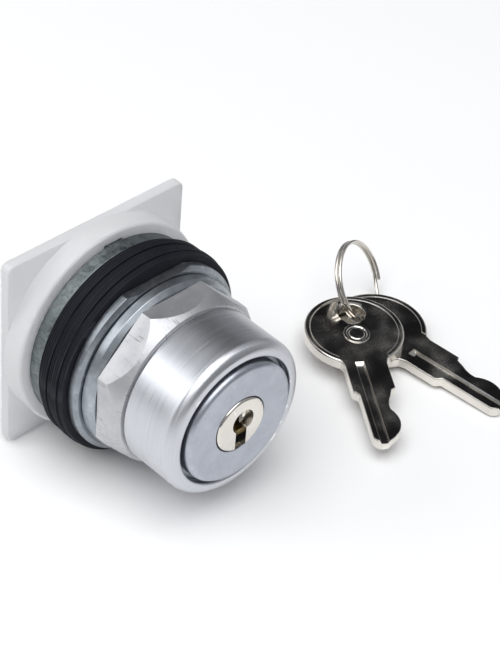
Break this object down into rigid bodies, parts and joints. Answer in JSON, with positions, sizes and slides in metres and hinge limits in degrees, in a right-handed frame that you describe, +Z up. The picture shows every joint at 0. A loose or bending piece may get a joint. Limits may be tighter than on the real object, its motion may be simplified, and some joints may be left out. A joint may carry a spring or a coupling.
{
  "type": "key operated selector switch",
  "caption": "Panel-mounted key-operated selector switch operator with clamping nut, gaskets and frosted base plate, with its keys on a split ring.",
  "frame": {"origin": "on the operator's axis, in the plane of the panel, between the locating ring and the rear gasket", "axes": "-Y along the operator's axis, out of the panel towards whoever turns the key; +Z up; +X to the right, where the keys lie"},
  "size_m": [0.094, 0.0597, 0.0462],
  "materials": {
    "frosted_plastic": "frosted translucent nylon",
    "grey_zinc": "die-cast zinc, dull",
    "galvanised": "galvanised, mottled",
    "washer_grey": "satin grey",
    "cast_aluminium": "satin, finely scratched",
    "brushed_aluminium": "brushed round the axis",
    "satin_grey": "satin grey",
    "nickel": "polished nickel",
    "nickel_wire": "nickel-plated spring wire",
    "brass": "plain",
    "steel": "zinc-plated",
    "rubber": "matt black",
    "black_nylon": "moulded",
    "white_nylon": "moulded"
  },
  "bodies": {
    "operator": {"base_plate": "frosted_plastic", "threaded_barrel": "grey_zinc", "locating_ring": "galvanised", "gasket_1": "rubber", "gasket_2": "rubber", "gasket_3": "rubber", "gasket_4": "rubber", "gasket_5": "rubber", "thrust_washer": "washer_grey", "lock_ring": "washer_grey", "ring_nut": "cast_aluminium", "shroud": "brushed_aluminium", "base_screw_1": "steel", "base_screw_2": "steel", "base_screw_3": "steel", "base_screw_4": "steel", "lock_shell": "satin_grey", "lock_shell_nut": "brass", "plunger_guide": "black_nylon", "detent_spring": "steel"},
    "plug": {"lock_plug": "nickel", "plug_clip": "steel", "tailpiece": "steel", "tailpiece_screw": "steel", "operating_cam": "black_nylon", "wafer_spring_1": "steel", "wafer_spring_2": "steel", "wafer_spring_3": "steel", "wafer_spring_4": "steel", "wafer_spring_5": "steel"},
    "wafer_1": {"wafer_1": "brass"},
    "wafer_2": {"wafer_2": "brass"},
    "wafer_3": {"wafer_3": "brass"},
    "wafer_4": {"wafer_4": "brass"},
    "wafer_5": {"wafer_5": "brass"},
    "detent": {"detent_ball": "steel"},
    "plunger_right": {"plunger_right": "white_nylon", "plunger_spring_right": "steel"},
    "plunger_left": {"plunger_left": "white_nylon", "plunger_spring_left": "steel"},
    "key_set": {"split_ring": "nickel_wire"},
    "key_1": {"key_1": "nickel"},
    "key_2": {"key_2": "nickel"}
  },
  "joints": [
    {"name": "plug_turn", "type": "hinge", "parent": "operator", "child": "plug", "pos_m": [0, -0.02, 0], "axis": [0, 1, 0], "range_deg": [0, 90]},
    {"name": "plunger_right_slide", "type": "slide", "parent": "operator", "child": "plunger_right", "axis": [0, 1, 0], "range_m": [0, 0.0025]},
    {"name": "plunger_left_slide", "type": "slide", "parent": "operator", "child": "plunger_left", "axis": [0, 1, 0], "range_m": [-0.0025, 0]},
    {"name": "detent_ball_slide", "type": "slide", "parent": "operator", "child": "detent", "axis": [0, 1, 0], "range_m": [-0.0007, 0], "stiffness_N_per_m": 300, "springref_m": -0.001},
    {"name": "wafer_1_slide", "type": "slide", "parent": "plug", "child": "wafer_1", "axis": [0, 0, 1], "range_m": [0, 0.0009], "deforming": ["wafer_spring_1"]},
    {"name": "wafer_2_slide", "type": "slide", "parent": "plug", "child": "wafer_2", "axis": [0, 0, 1], "range_m": [0, 0.0007], "deforming": ["wafer_spring_2"]},
    {"name": "wafer_3_slide", "type": "slide", "parent": "plug", "child": "wafer_3", "axis": [0, 0, 1], "range_m": [0, 0.0008], "deforming": ["wafer_spring_3"]},
    {"name": "wafer_4_slide", "type": "slide", "parent": "plug", "child": "wafer_4", "axis": [0, 0, 1], "range_m": [0, 0.0006], "deforming": ["wafer_spring_4"]},
    {"name": "wafer_5_slide", "type": "slide", "parent": "plug", "child": "wafer_5", "axis": [0, 0, 1], "range_m": [0, 0.00075], "deforming": ["wafer_spring_5"]},
    {"name": "key_set_lift", "type": "slide", "parent": "operator", "child": "key_set", "axis": [0, 0, 1], "range_m": [0, 0.06]},
    {"name": "key_1_swing", "type": "hinge", "parent": "key_set", "child": "key_1", "pos_m": [0.0547, -0.0116, -0.01862], "axis": [0, -0.0419, 0.9991], "range_deg": [-25, 25]},
    {"name": "key_2_swing", "type": "hinge", "parent": "key_set", "child": "key_2", "pos_m": [0.05867, -0.01081, -0.02141], "axis": [0, -0.0419, 0.9991], "range_deg": [-25, 0]}
  ],
  "couplings": [
    {"joint": "plunger_right_slide", "follows": "plug_turn", "m_per_rad": 0.0015279},
    {"joint": "plunger_left_slide", "follows": "plug_turn", "m_per_rad": -0.0015279},
    {"joint": "wafer_2_slide", "follows": "wafer_1_slide", "ratio": 0.77778},
    {"joint": "wafer_3_slide", "follows": "wafer_1_slide", "ratio": 0.88889},
    {"joint": "wafer_4_slide", "follows": "wafer_1_slide", "ratio": 0.66667},
    {"joint": "wafer_5_slide", "follows": "wafer_1_slide", "ratio": 0.83333}
  ]
}
